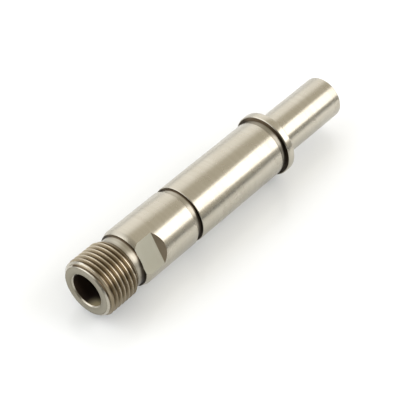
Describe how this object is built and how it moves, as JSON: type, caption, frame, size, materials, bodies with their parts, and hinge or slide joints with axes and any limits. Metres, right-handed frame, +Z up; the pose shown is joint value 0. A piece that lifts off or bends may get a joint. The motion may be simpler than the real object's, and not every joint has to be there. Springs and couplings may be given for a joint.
{
  "type": "turned shaft",
  "caption": "Turned steel shaft with a bored, threaded nose, spanner flats, a ring groove, a long plain seat, a collar with an undercut and a slimmer spigot.",
  "frame": {"origin": "centre of the spigot's end face, which is the face the shaft stands on", "axes": "+Z up the turning axis, from the spigot to the threaded nose; +X square to one of the two wrench flats"},
  "size_m": [0.02, 0.02, 0.105],
  "materials": {
    "turned_steel": "satin, with fine turning marks round the axis"
  },
  "bodies": {
    "root": {"turned_shaft": "turned_steel"}
  },
  "joints": []
}
